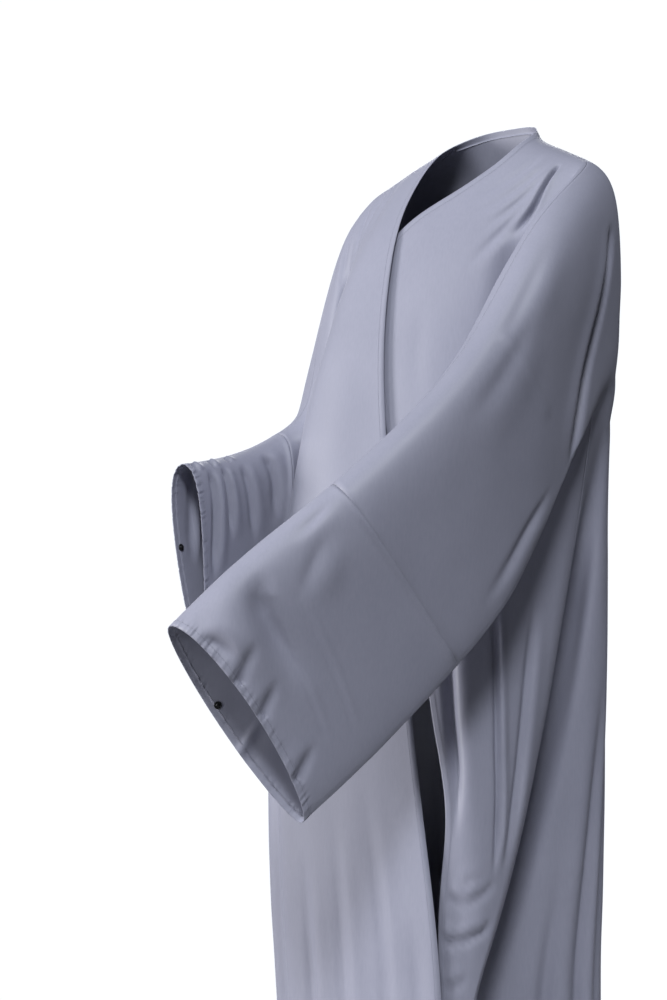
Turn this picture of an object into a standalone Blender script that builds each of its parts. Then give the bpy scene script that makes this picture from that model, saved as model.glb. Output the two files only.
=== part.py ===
"""An open abaya with batwing sleeves, held in its worn form by nothing but its own walls.

Metres, +Z up. The front faces -Y and the garment's own left is +X. The origin is between the
shoulders at the height of the neck end of the shoulder seams, where the wearer carries it.

The cloth is one net of points, joined at its seams. The net is smoothed, then parted at the
seams into the panels that a maker would cut, and each panel is given the thickness of cloth.
"""

import math
from collections import namedtuple

import bmesh
import bpy
from mathutils import Matrix, Vector
from mathutils.bvhtree import BVHTree

# Cloth and seams
WALL = 0.0016
SEAM_GAP = 0.0003
MOST_BEND = math.radians(65)
LEAST_OPENING = 0.5
SMOOTHING_LEVELS = 1

# Snaps on the inner faces of the cuffs, each at the point of the cloth nearest to the one given
SNAP_RADIUS = 0.0048
SNAP_HEIGHT = 0.0024
SNAP_CROWN = 0.75
SNAP_SIDES = 16
SNAP_PLACES = {
    "snap_left": ("sleeve_extension_left", (-0.085, -0.436, -0.735)),
    "snap_right": ("sleeve_extension_right", (-0.320, -0.270, -0.555)),
}

# Shares of a panel's width at which its columns stand, front edge to side seam
FRONT_SHARES = (0.0, 0.24, 0.48, 0.71, 0.90, 1.0)
CORNER_PULL = 0.8

# Shares of a sleeve's drop at which its rows stand, arm to under-seam, and its fullness there
SLEEVE_DROPS = (0.0, 0.05, 0.19, 0.42, 0.68, 0.92, 1.0)
SLEEVE_FULLNESS = (0.0, 0.78, 1.0, 0.80, 0.52, 0.26, 0.0)
REACH_ROUNDNESS = 0.5
APEX_ROW = len(SLEEVE_DROPS) - 1
EXTENSION_STATION = 5

# A front panel's rows: its edge, the corner that it rounds, and its side. The first seven reach
# the shoulder seam and the armhole, the seventh the underarm, and the rest the side seam.
FrontRow = namedtuple("FrontRow", "edge corner side")

LEFT_FRONT = (
    FrontRow((0.066, 0.020, 0.000), (0.115, 0.008), (0.165, -0.005, -0.050)),
    FrontRow((0.062, -0.014, -0.018), (0.110, -0.026), (0.160, -0.030, -0.075)),
    FrontRow((0.049, -0.042, -0.048), (0.098, -0.060), (0.152, -0.046, -0.130)),
    FrontRow((-0.005, -0.078, -0.088), (0.070, -0.104), (0.150, -0.040, -0.200)),
    FrontRow((-0.095, -0.096, -0.132), (0.060, -0.134), (0.150, -0.020, -0.270)),
    FrontRow((-0.110, -0.119, -0.220), (0.064, -0.140), (0.150, 0.006, -0.330)),
    FrontRow((-0.084, -0.138, -0.326), (0.074, -0.142), (0.146, 0.040, -0.362)),
    FrontRow((-0.032, -0.148, -0.500), (0.080, -0.138), (0.142, 0.020, -0.503)),
    FrontRow((0.004, -0.150, -0.671), (0.086, -0.140), (0.128, -0.010, -0.671)),
    FrontRow((0.022, -0.150, -0.788), (0.092, -0.142), (0.122, -0.040, -0.788)),
    FrontRow((0.050, -0.150, -0.890), (0.094, -0.144), (0.110, -0.076, -0.930)),
    FrontRow((0.025, -0.150, -1.010), (0.078, -0.146), (0.092, -0.112, -1.053)),
    FrontRow((0.034, -0.150, -1.150), (0.056, -0.146), (0.066, -0.136, -1.150)),
    FrontRow((0.040, -0.152, -1.280), (0.058, -0.148), (0.068, -0.138, -1.280)),
    FrontRow((0.046, -0.154, -1.420), (0.062, -0.150), (0.072, -0.138, -1.420)),
)

RIGHT_FRONT = (
    FrontRow((-0.070, 0.020, 0.000), (-0.124, 0.010), (-0.178, 0.000, -0.050)),
    FrontRow((-0.073, -0.014, -0.018), (-0.135, -0.026), (-0.190, -0.028, -0.075)),
    FrontRow((-0.074, -0.046, -0.050), (-0.150, -0.062), (-0.200, -0.045, -0.135)),
    FrontRow((-0.075, -0.070, -0.080), (-0.165, -0.096), (-0.202, -0.048, -0.200)),
    FrontRow((-0.075, -0.103, -0.130), (-0.185, -0.140), (-0.203, -0.040, -0.280)),
    FrontRow((-0.074, -0.126, -0.220), (-0.220, -0.166), (-0.205, -0.012, -0.350)),
    FrontRow((-0.067, -0.144, -0.326), (-0.262, -0.198), (-0.208, 0.034, -0.400)),
    FrontRow((-0.042, -0.158, -0.500), (-0.296, -0.232), (-0.205, 0.000, -0.540)),
    FrontRow((-0.014, -0.165, -0.671), (-0.300, -0.230), (-0.250, -0.030, -0.680)),
    FrontRow((0.002, -0.166, -0.788), (-0.308, -0.222), (-0.270, -0.040, -0.788)),
    FrontRow((0.019, -0.166, -0.906), (-0.310, -0.220), (-0.274, -0.045, -0.910)),
    FrontRow((0.040, -0.166, -1.036), (-0.308, -0.214), (-0.272, -0.048, -1.036)),
    FrontRow((0.048, -0.166, -1.150), (-0.296, -0.206), (-0.266, -0.050, -1.150)),
    FrontRow((0.054, -0.167, -1.280), (-0.286, -0.202), (-0.262, -0.050, -1.280)),
    FrontRow((0.058, -0.168, -1.420), (-0.280, -0.200), (-0.260, -0.050, -1.420)),
)

# The back half of an armhole, shoulder to underarm, without its two ends
LEFT_ARMHOLE_BACK = (
    (0.182, 0.014, -0.072),
    (0.187, 0.028, -0.120),
    (0.180, 0.042, -0.190),
    (0.172, 0.052, -0.265),
    (0.166, 0.048, -0.330),
)
RIGHT_ARMHOLE_BACK = (
    (-0.190, 0.022, -0.072),
    (-0.204, 0.045, -0.130),
    (-0.208, 0.062, -0.205),
    (-0.210, 0.070, -0.285),
    (-0.210, 0.060, -0.355),
)

# Half of the back below the underarm: where it leaves the side seam, its outer fold and its blade.
# The fold behind the side seam is as deep as fold_x and fold_y say.
BackRow = namedtuple("BackRow", "fold_x fold_y rise_x rise_y outer_x outer_y blade_x blade_y")

LEFT_BACK = (
    BackRow(0.155, 0.062, 0.148, 0.084, 0.126, 0.104, 0.094, 0.120),
    BackRow(0.110, 0.058, 0.142, 0.072, 0.136, 0.096, 0.104, 0.124),
    BackRow(0.086, 0.040, 0.128, 0.040, 0.142, 0.080, 0.110, 0.124),
    BackRow(0.072, 0.020, 0.114, 0.030, 0.140, 0.076, 0.112, 0.122),
    BackRow(0.056, -0.008, 0.088, 0.008, 0.136, 0.068, 0.112, 0.118),
    BackRow(0.044, -0.040, 0.056, -0.016, 0.132, 0.060, 0.112, 0.114),
    BackRow(0.027, -0.072, 0.034, -0.036, 0.128, 0.052, 0.112, 0.110),
    BackRow(0.028, -0.074, 0.034, -0.038, 0.130, 0.052, 0.114, 0.112),
    BackRow(0.031, -0.076, 0.036, -0.038, 0.134, 0.052, 0.118, 0.114),
)
RIGHT_BACK = (
    BackRow(-0.200, 0.060, -0.190, 0.084, -0.158, 0.108, -0.108, 0.126),
    BackRow(-0.226, 0.030, -0.222, 0.060, -0.184, 0.106, -0.116, 0.132),
    BackRow(-0.250, 0.004, -0.260, 0.036, -0.206, 0.098, -0.122, 0.132),
    BackRow(-0.254, -0.008, -0.264, 0.030, -0.212, 0.094, -0.124, 0.132),
    BackRow(-0.252, -0.014, -0.264, 0.026, -0.214, 0.092, -0.126, 0.132),
    BackRow(-0.248, -0.018, -0.262, 0.022, -0.214, 0.090, -0.126, 0.130),
    BackRow(-0.242, -0.020, -0.258, 0.020, -0.212, 0.090, -0.126, 0.130),
    BackRow(-0.238, -0.020, -0.256, 0.020, -0.212, 0.092, -0.128, 0.132),
    BackRow(-0.236, -0.020, -0.256, 0.020, -0.212, 0.094, -0.130, 0.134),
)

# The middle of the back, neck to hem: its y and z
BACK_NECK_SHARE = 0.66
BACK_MIDDLE = (
    (0.058, 0.020),
    (0.072, -0.020),
    (0.090, -0.070),
    (0.106, -0.140),
    (0.120, -0.220),
    (0.130, -0.300),
    (0.138, -0.380),
    (0.146, -0.520),
    (0.150, -0.675),
    (0.150, -0.788),
    (0.150, -0.920),
    (0.150, -1.045),
    (0.150, -1.150),
    (0.152, -1.280),
    (0.154, -1.420),
)

# A sleeve's stations from the armhole to the cuff: the line over the arm, the under-seam, the
# way the back half faces in degrees (0 is sideways, 90 is backwards), how far each half stands
# off the plane between the two lines, and how far each half reaches towards the hand there.
Station = namedtuple("Station", "over under facing front_off back_off front_reach back_reach")

LEFT_SLEEVE = (
    Station((0.140, -0.100, -0.130), (0.170, -0.015, -0.400), -12, 0.036, 0.050, 0.0, 0.0),
    Station((0.125, -0.175, -0.245), (0.165, -0.065, -0.475), -24, 0.034, 0.052, 0.0, 0.0),
    Station((0.115, -0.230, -0.320), (0.160, -0.110, -0.545), -32, 0.034, 0.046, 0.0, 0.0),
    Station((0.095, -0.295, -0.380), (0.150, -0.165, -0.625), -36, 0.036, 0.044, 0.0, 0.0),
    Station((0.040, -0.375, -0.470), (0.123, -0.215, -0.688), -38, 0.038, 0.042, 0.0, 0.0),
    Station((-0.030, -0.450, -0.545), (0.055, -0.305, -0.805), -38, 0.040, 0.040, 0.008, -0.012),
    Station((-0.100, -0.505, -0.635), (0.005, -0.380, -0.880), -38, 0.040, 0.038, 0.016, -0.026),
)
RIGHT_SLEEVE = (
    Station((-0.238, -0.012, -0.100), (-0.246, 0.024, -0.436), 55, 0.050, 0.048, 0.0, 0.0),
    Station((-0.262, -0.026, -0.190), (-0.260, -0.004, -0.515), 40, 0.044, 0.046, 0.0, 0.0),
    Station((-0.272, -0.040, -0.280), (-0.265, -0.035, -0.580), 30, 0.038, 0.040, 0.0, 0.0),
    Station((-0.272, -0.052, -0.362), (-0.275, -0.062, -0.630), 20, 0.034, 0.036, 0.0, 0.0),
    Station((-0.301, -0.080, -0.392), (-0.287, -0.090, -0.660), 8, 0.030, 0.034, 0.0, 0.0),
    Station((-0.308, -0.165, -0.425), (-0.296, -0.170, -0.700), 4, 0.026, 0.030, 0.0, 0.0),
    Station((-0.305, -0.275, -0.437), (-0.286, -0.260, -0.700), 4, 0.020, 0.022, -0.010, 0.013),
)

# How far the back half of a sleeve is pushed in behind the roll of its under-seam, in metres,
# by station and drop row
SLEEVE_DENTS = {
    "left": {(1, 4): 0.016, (1, 5): 0.008, (2, 5): 0.009, (2, 4): -0.004},
    "right": {(1, 4): 0.010, (2, 4): 0.006, (2, 5): 0.004},
}

# The broad folds of the skirt: how far each column stands out, or in where negative, at the hem
WAVE_AXIS = Vector((0.0, -0.020, 0.0))
WAVE_GROWTH = 0.7
FRONT_WAVES = {
    "left": (0.0, 0.0, 0.0, 0.0, 0.0, 0.0),
    "right": (0.0, 0.004, -0.006, 0.007, -0.004, 0.0),
}
BACK_WAVES = (0.0, 0.0, 0.0, 0.006, -0.010, 0.009, -0.010, 0.007)

PANELS = ("front_left", "front_right", "back", "sleeve_extension_left", "sleeve_extension_right")

CLOTH_COLOUR = (0.24, 0.245, 0.31, 1.0)
SNAP_COLOUR = (0.006, 0.006, 0.008, 1.0)


def clear_scene():
    for item in list(bpy.data.objects):
        bpy.data.objects.remove(item)


def material(name, colour, roughness, metallic=0.0):
    made = bpy.data.materials.new(name)
    made.use_nodes = True
    shader = made.node_tree.nodes["Principled BSDF"]
    shader.inputs["Base Color"].default_value = colour
    shader.inputs["Roughness"].default_value = roughness
    shader.inputs["Metallic"].default_value = metallic
    return made


def front_point(row, share):
    """A point of a front panel's row: a cubic curve drawn from both ends towards the corner."""
    edge, side = Vector(row.edge), Vector(row.side)
    corner = Vector((*row.corner, (edge.z + side.z) / 2))
    first, second = edge.lerp(corner, CORNER_PULL), side.lerp(corner, CORNER_PULL)
    rest = 1 - share
    point = edge * rest ** 3 + first * 3 * share * rest ** 2 + second * 3 * share ** 2 * rest
    return point + side * share ** 3


def waved(line, waves, row):
    """A row of the skirt with its broad folds, which grow from nothing at the underarm."""
    share = max(row - APEX_ROW, 0) / (len(BACK_MIDDLE) - 1 - APEX_ROW)
    moved = []
    for point, wave in zip(line, waves):
        outward = Vector((point.x, point.y, 0.0)) - WAVE_AXIS
        moved.append(point + outward.normalized() * wave * share ** WAVE_GROWTH)
    return moved


def front_grid(rows, waves):
    grid = [[front_point(row, share) for share in FRONT_SHARES] for row in rows]
    return [waved(line, waves, number) for number, line in enumerate(grid)]


def quarter_turn(start, end, share):
    """A point on the quarter ellipse that leaves start along Y and reaches end along X."""
    turn = share * math.pi / 2
    return Vector((
        end.x + (start.x - end.x) * math.cos(turn),
        start.y + (end.y - start.y) * math.sin(turn),
        start.z + (end.z - start.z) * share,
    ))


def back_grid(front, armhole, lower_rows):
    """Half of the back, from the side to the middle; its first row is the shoulder seam."""
    columns = len(FRONT_SHARES) + 2
    neck = front[0][0]
    middles = [Vector((0.0, *middle)) for middle in BACK_MIDDLE]
    neck_side = Vector((neck.x, middles[0].y, middles[0].z))
    grid = [list(reversed(front[0])) + [neck_side.lerp(middles[0], 1 - BACK_NECK_SHARE), middles[0]]]
    for start, end in zip(armhole, middles[1:]):
        grid.append([quarter_turn(Vector(start), end, n / (columns - 1)) for n in range(columns)])
    for number, row in enumerate(lower_rows, APEX_ROW):
        side, middle = front[number][-1], middles[number]
        blade = Vector((row.blade_x, row.blade_y, side.z))
        line = [side]
        line.append(Vector((row.fold_x, row.fold_y, side.z)))
        line.append(Vector((row.rise_x, row.rise_y, side.z)))
        line.append(Vector((row.outer_x, row.outer_y, side.z)))
        line.append(blade)
        line += [quarter_turn(blade, middle, share) for share in (0.34, 0.67)]
        line.append(middle)
        grid.append(waved(line, BACK_WAVES, number))
    return grid


def sleeve_rings(front, back, stations, dents, side_sign):
    """Rings down a sleeve, each a pair of half rings (front, back) from the arm to the seam."""
    rings = [([row[-1] for row in front[:APEX_ROW + 1]], [row[0] for row in back[:APEX_ROW + 1]])]
    overs = [front[0][-1]] + [Vector(station.over) for station in stations]
    for number, station in enumerate(stations, 1):
        over, under = Vector(station.over), Vector(station.under)
        along = (overs[min(number + 1, len(overs) - 1)] - overs[number - 1]).normalized()
        drop = under - over
        facing = math.radians(station.facing)
        outward = Vector((side_sign * math.cos(facing), math.sin(facing), 0.0))
        front_half, back_half = [], []
        for drop_row, (share, fullness) in enumerate(zip(SLEEVE_DROPS, SLEEVE_FULLNESS)):
            base = over + drop * share
            reach = along * math.sin(share * math.pi) ** REACH_ROUNDNESS if 0 < share < 1 else Vector()
            front_half.append(base - outward * station.front_off * fullness + reach * station.front_reach)
            off = station.back_off * fullness - dents.get((number, drop_row), 0.0)
            back_half.append(base + outward * off + reach * station.back_reach)
        rings.append((front_half, back_half))
    return rings


def add_patch(mesh, corners, tag_layer, tag):
    """One face of the net, with its vertices shared by place, marked with its panel."""
    verts = []
    for corner in corners:
        key = tuple(round(value, 6) for value in corner)
        if key not in mesh["places"]:
            mesh["places"][key] = mesh["bm"].verts.new(corner)
        vert = mesh["places"][key]
        if vert not in verts:
            verts.append(vert)
    face = mesh["bm"].faces.new(verts)
    face[tag_layer] = tag


def add_grid(mesh, grid, tag_layer, tag, flip):
    for upper, lower in zip(grid, grid[1:]):
        for n in range(len(upper) - 1):
            corners = [upper[n], upper[n + 1], lower[n + 1], lower[n]]
            if flip:
                corners.reverse()
            add_patch(mesh, corners, tag_layer, tag)


def garment_net():
    """The whole net of the cloth, faces outward, marked by panel."""
    bm = bmesh.new()
    tag_layer = bm.faces.layers.int.new("panel")
    mesh = {"bm": bm, "places": {}}
    sides = (
        ("left", LEFT_FRONT, LEFT_ARMHOLE_BACK, LEFT_BACK, LEFT_SLEEVE, 1),
        ("right", RIGHT_FRONT, RIGHT_ARMHOLE_BACK, RIGHT_BACK, RIGHT_SLEEVE, -1),
    )
    for name, front_rows, armhole, back_rows, stations, sign in sides:
        mirrored = sign < 0
        front = front_grid(front_rows, FRONT_WAVES[name])
        back = back_grid(front, armhole, back_rows)
        add_grid(mesh, front, tag_layer, PANELS.index("front_" + name), not mirrored)
        add_grid(mesh, back, tag_layer, PANELS.index("back"), not mirrored)
        rings = sleeve_rings(front, back, stations, SLEEVE_DENTS[name], sign)
        for number, (ring, following) in enumerate(zip(rings, rings[1:])):
            extension = PANELS.index("sleeve_extension_" + name)
            on_extension = number >= EXTENSION_STATION
            front_tag = extension if on_extension else PANELS.index("front_" + name)
            back_tag = extension if on_extension else PANELS.index("back")
            front_strip = [list(pair) for pair in zip(ring[0], following[0])]
            back_strip = [list(pair) for pair in zip(ring[1], following[1])]
            add_grid(mesh, front_strip, tag_layer, front_tag, not mirrored)
            add_grid(mesh, back_strip, tag_layer, back_tag, mirrored)
    return bm


def smoothed(bm):
    """The net after smoothing, as a new mesh that still knows each face's panel."""
    rough = bpy.data.meshes.new("net")
    bm.to_mesh(rough)
    carrier = bpy.data.objects.new("net", rough)
    bpy.context.scene.collection.objects.link(carrier)
    smoothing = carrier.modifiers.new("smoothing", "SUBSURF")
    smoothing.levels = SMOOTHING_LEVELS
    smoothing.render_levels = SMOOTHING_LEVELS
    depsgraph = bpy.context.evaluated_depsgraph_get()
    fine = bpy.data.meshes.new_from_object(carrier.evaluated_get(depsgraph))
    bpy.data.objects.remove(carrier)
    bpy.data.meshes.remove(rough)
    return fine


def seam_move(vert, tag, tag_layer):
    """How far a point of a panel draws back from the seams through it, square to each seam."""
    ways, reach = [], 0.0
    for edge in vert.link_edges:
        tags = [face[tag_layer] for face in edge.link_faces]
        if len(tags) < 2 or tags[0] == tags[1] or tag not in tags:
            continue
        own = edge.link_faces[tags.index(tag)]
        along = (edge.other_vert(vert).co - vert.co).normalized()
        inward = own.calc_center_median() - vert.co
        ways.append((inward - along * inward.dot(along)).normalized())
        bend = min(edge.calc_face_angle() / 2, MOST_BEND)
        reach = max(reach, SEAM_GAP / 2 + WALL / 2 * math.tan(bend))
    if not ways:
        return None
    if len(ways) == 1:
        return ways[0] * reach
    return (ways[0] + ways[1]) * reach / max(1 + ways[0].dot(ways[1]), LEAST_OPENING)


def panel_mesh(fine, tag, name):
    """The faces of one panel, drawn back from its seams by half the gap."""
    bm = bmesh.new()
    bm.from_mesh(fine)
    bm.normal_update()
    tag_layer = bm.faces.layers.int["panel"]
    moves = [(vert, seam_move(vert, tag, tag_layer)) for vert in bm.verts]
    for vert, move in moves:
        if move is not None:
            vert.co += move
    bmesh.ops.delete(bm, geom=[face for face in bm.faces if face[tag_layer] != tag], context="FACES")
    panel = bpy.data.meshes.new(name)
    bm.to_mesh(panel)
    bm.free()
    return panel


def snap_mesh(panel, place, name):
    """A round snap half on a panel's inner face, made from the panel's points, moved in."""
    corners = [vert.co for vert in panel.vertices]
    tree = BVHTree.FromPolygons(corners, [face.vertices for face in panel.polygons])
    middle, outward = tree.find_nearest(Vector(place))[:2]
    inward = -outward
    aside = inward.orthogonal().normalized()
    bm = bmesh.new()
    rings = []
    steps = ((1.0, 0.0), (1.0, 0.5), (SNAP_CROWN, 1.0))
    for radius, height in ((SNAP_RADIUS * wide, SNAP_HEIGHT * high) for wide, high in steps):
        ring = []
        for n in range(SNAP_SIDES):
            turn = Matrix.Rotation(2 * math.pi * n / SNAP_SIDES, 3, inward)
            on_cloth = tree.find_nearest(middle + turn @ aside * radius)[0]
            ring.append(bm.verts.new(on_cloth + inward * (WALL / 2 + SEAM_GAP + height)))
        rings.append(ring)
    for lower, upper in zip(rings, rings[1:]):
        for n in range(SNAP_SIDES):
            after = (n + 1) % SNAP_SIDES
            bm.faces.new((lower[n], lower[after], upper[after], upper[n]))
    bm.faces.new(rings[-1])
    bm.faces.new(reversed(rings[0]))
    snap = bpy.data.meshes.new(name)
    bm.to_mesh(snap)
    bm.free()
    return snap


def build():
    clear_scene()
    collection = bpy.data.collections.new("abaya")
    bpy.context.scene.collection.children.link(collection)
    cloth = material("crepe", CLOTH_COLOUR, 0.55)
    black = material("snap_black", SNAP_COLOUR, 0.35)
    fine = smoothed(garment_net())
    panels = {}
    for tag, name in enumerate(PANELS):
        panel = panel_mesh(fine, tag, name)
        panel.materials.append(cloth)
        panel.shade_smooth()
        panels[name] = panel
        item = bpy.data.objects.new(name, panel)
        collection.objects.link(item)
        wall = item.modifiers.new("wall", "SOLIDIFY")
        wall.thickness = WALL
        wall.offset = 0
        wall.use_even_offset = True
    for name, (panel_name, place) in SNAP_PLACES.items():
        snap = snap_mesh(panels[panel_name], place, name)
        snap.materials.append(black)
        collection.objects.link(bpy.data.objects.new(name, snap))
    bpy.data.meshes.remove(fine)


build()
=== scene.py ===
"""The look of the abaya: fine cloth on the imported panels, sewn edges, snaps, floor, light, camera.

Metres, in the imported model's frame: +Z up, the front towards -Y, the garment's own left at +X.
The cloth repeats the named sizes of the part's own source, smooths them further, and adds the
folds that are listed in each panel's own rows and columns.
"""

import math
from collections import namedtuple

import bmesh
import bpy
import numpy as np
from mathutils import Matrix, Vector, noise
from mathutils.bvhtree import BVHTree
from mathutils.kdtree import KDTree


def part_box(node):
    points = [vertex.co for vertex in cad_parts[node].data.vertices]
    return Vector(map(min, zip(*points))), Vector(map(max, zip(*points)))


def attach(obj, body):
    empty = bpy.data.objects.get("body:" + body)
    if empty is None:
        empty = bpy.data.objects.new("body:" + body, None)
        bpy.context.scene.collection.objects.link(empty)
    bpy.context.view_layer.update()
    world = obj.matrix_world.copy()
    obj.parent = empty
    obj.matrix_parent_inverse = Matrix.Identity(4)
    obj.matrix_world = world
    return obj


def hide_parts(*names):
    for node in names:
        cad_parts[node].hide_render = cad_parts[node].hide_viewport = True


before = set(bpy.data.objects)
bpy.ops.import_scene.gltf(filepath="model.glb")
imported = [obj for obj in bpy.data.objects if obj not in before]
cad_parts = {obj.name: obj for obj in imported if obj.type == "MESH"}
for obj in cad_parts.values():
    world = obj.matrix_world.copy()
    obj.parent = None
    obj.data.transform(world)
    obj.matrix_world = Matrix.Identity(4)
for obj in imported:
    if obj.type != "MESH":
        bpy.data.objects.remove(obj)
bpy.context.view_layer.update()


def named(kind, rows):
    """The rows of a table with their values named."""
    return tuple(kind(*row) for row in rows)


# Shares of a panel's width at which its columns stand, front edge to side seam
FRONT_SHARES = (0.0, 0.24, 0.48, 0.71, 0.90, 1.0)
LAST_COLUMN = len(FRONT_SHARES) - 1
CORNER_PULL = 0.8

# Shares of a sleeve's drop at which its rows stand, arm to under-seam, and its fullness there
SLEEVE_DROPS = (0.0, 0.05, 0.19, 0.42, 0.68, 0.92, 1.0)
SLEEVE_FULLNESS = (0.0, 0.78, 1.0, 0.80, 0.52, 0.26, 0.0)
REACH_ROUNDNESS = 0.5
APEX_ROW = len(SLEEVE_DROPS) - 1
EXTENSION_STATION = 5

# A front panel's rows: its edge, the corner that it rounds, and its side. The first seven reach
# the shoulder seam and the armhole, the seventh the underarm, and the rest the side seam.
FrontRow = namedtuple("FrontRow", "edge corner side")

LEFT_FRONT = named(FrontRow, (
    ((0.066, 0.020, 0.000), (0.115, 0.008), (0.165, -0.005, -0.050)),
    ((0.062, -0.014, -0.018), (0.110, -0.026), (0.160, -0.030, -0.075)),
    ((0.049, -0.042, -0.048), (0.098, -0.060), (0.152, -0.046, -0.130)),
    ((-0.005, -0.078, -0.088), (0.070, -0.104), (0.150, -0.040, -0.200)),
    ((-0.095, -0.096, -0.132), (0.060, -0.134), (0.150, -0.020, -0.270)),
    ((-0.110, -0.119, -0.220), (0.064, -0.140), (0.150, 0.006, -0.330)),
    ((-0.084, -0.138, -0.326), (0.074, -0.142), (0.146, 0.040, -0.362)),
    ((-0.032, -0.148, -0.500), (0.080, -0.138), (0.142, 0.020, -0.503)),
    ((0.004, -0.150, -0.671), (0.086, -0.140), (0.128, -0.010, -0.671)),
    ((0.022, -0.150, -0.788), (0.092, -0.142), (0.122, -0.040, -0.788)),
    ((0.050, -0.150, -0.890), (0.094, -0.144), (0.110, -0.076, -0.930)),
    ((0.025, -0.150, -1.010), (0.078, -0.146), (0.092, -0.112, -1.053)),
    ((0.034, -0.150, -1.150), (0.056, -0.146), (0.066, -0.136, -1.150)),
    ((0.040, -0.152, -1.280), (0.058, -0.148), (0.068, -0.138, -1.280)),
    ((0.046, -0.154, -1.420), (0.062, -0.150), (0.072, -0.138, -1.420)),
))

RIGHT_FRONT = named(FrontRow, (
    ((-0.070, 0.020, 0.000), (-0.124, 0.010), (-0.178, 0.000, -0.050)),
    ((-0.073, -0.014, -0.018), (-0.135, -0.026), (-0.190, -0.028, -0.075)),
    ((-0.074, -0.046, -0.050), (-0.150, -0.062), (-0.200, -0.045, -0.135)),
    ((-0.075, -0.070, -0.080), (-0.165, -0.096), (-0.202, -0.048, -0.200)),
    ((-0.075, -0.103, -0.130), (-0.185, -0.140), (-0.203, -0.040, -0.280)),
    ((-0.074, -0.126, -0.220), (-0.220, -0.166), (-0.205, -0.012, -0.350)),
    ((-0.067, -0.144, -0.326), (-0.262, -0.198), (-0.208, 0.034, -0.400)),
    ((-0.042, -0.158, -0.500), (-0.296, -0.232), (-0.205, 0.000, -0.540)),
    ((-0.014, -0.165, -0.671), (-0.300, -0.230), (-0.250, -0.030, -0.680)),
    ((0.002, -0.166, -0.788), (-0.308, -0.222), (-0.270, -0.040, -0.788)),
    ((0.019, -0.166, -0.906), (-0.310, -0.220), (-0.274, -0.045, -0.910)),
    ((0.040, -0.166, -1.036), (-0.308, -0.214), (-0.272, -0.048, -1.036)),
    ((0.048, -0.166, -1.150), (-0.296, -0.206), (-0.266, -0.050, -1.150)),
    ((0.054, -0.167, -1.280), (-0.286, -0.202), (-0.262, -0.050, -1.280)),
    ((0.058, -0.168, -1.420), (-0.280, -0.200), (-0.260, -0.050, -1.420)),
))

# The back half of an armhole, shoulder to underarm, without its two ends
LEFT_ARMHOLE_BACK = (
    (0.182, 0.014, -0.072),
    (0.187, 0.028, -0.120),
    (0.180, 0.042, -0.190),
    (0.172, 0.052, -0.265),
    (0.166, 0.048, -0.330),
)
RIGHT_ARMHOLE_BACK = (
    (-0.190, 0.022, -0.072),
    (-0.204, 0.045, -0.130),
    (-0.208, 0.062, -0.205),
    (-0.210, 0.070, -0.285),
    (-0.210, 0.060, -0.355),
)

# Half of the back below the underarm: x and y of the fold behind the side seam, of the rise beside
# it, of the outer fold and of the blade. A quarter turn leads on to the middle.
BackRow = namedtuple("BackRow", "fold rise outer blade")

LEFT_BACK = named(BackRow, (
    ((0.155, 0.062), (0.148, 0.084), (0.126, 0.104), (0.094, 0.120)),
    ((0.110, 0.058), (0.142, 0.072), (0.136, 0.096), (0.104, 0.124)),
    ((0.086, 0.040), (0.128, 0.040), (0.142, 0.080), (0.110, 0.124)),
    ((0.072, 0.020), (0.114, 0.030), (0.140, 0.076), (0.112, 0.122)),
    ((0.056, -0.008), (0.088, 0.008), (0.136, 0.068), (0.112, 0.118)),
    ((0.044, -0.040), (0.056, -0.016), (0.132, 0.060), (0.112, 0.114)),
    ((0.027, -0.072), (0.034, -0.036), (0.128, 0.052), (0.112, 0.110)),
    ((0.028, -0.074), (0.034, -0.038), (0.130, 0.052), (0.114, 0.112)),
    ((0.031, -0.076), (0.036, -0.038), (0.134, 0.052), (0.118, 0.114)),
))
RIGHT_BACK = named(BackRow, (
    ((-0.200, 0.060), (-0.190, 0.084), (-0.158, 0.108), (-0.108, 0.126)),
    ((-0.226, 0.030), (-0.222, 0.060), (-0.184, 0.106), (-0.116, 0.132)),
    ((-0.250, 0.004), (-0.260, 0.036), (-0.206, 0.098), (-0.122, 0.132)),
    ((-0.254, -0.008), (-0.264, 0.030), (-0.212, 0.094), (-0.124, 0.132)),
    ((-0.252, -0.014), (-0.264, 0.026), (-0.214, 0.092), (-0.126, 0.132)),
    ((-0.248, -0.018), (-0.262, 0.022), (-0.214, 0.090), (-0.126, 0.130)),
    ((-0.242, -0.020), (-0.258, 0.020), (-0.212, 0.090), (-0.126, 0.130)),
    ((-0.238, -0.020), (-0.256, 0.020), (-0.212, 0.092), (-0.128, 0.132)),
    ((-0.236, -0.020), (-0.256, 0.020), (-0.212, 0.094), (-0.130, 0.134)),
))

# The middle of the back, neck to hem: its y and z
BACK_NECK_SHARE = 0.66
BLADE_SHARES = (0.34, 0.67)
BACK_MIDDLE = (
    (0.058, 0.020), (0.072, -0.020), (0.090, -0.070), (0.106, -0.140), (0.120, -0.220),
    (0.130, -0.300), (0.138, -0.380), (0.146, -0.520), (0.150, -0.675), (0.150, -0.788),
    (0.150, -0.920), (0.150, -1.045), (0.150, -1.150), (0.152, -1.280), (0.154, -1.420),
)

# A sleeve's stations from the armhole to the cuff: the line over the arm, the under-seam, the
# way the back half faces in degrees (0 is sideways, 90 is backwards), how far each half stands
# off the plane between the two lines, and how far each half reaches towards the hand there.
Station = namedtuple("Station", "over under facing front_off back_off front_reach back_reach",
                     defaults=(0.0, 0.0))

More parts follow.
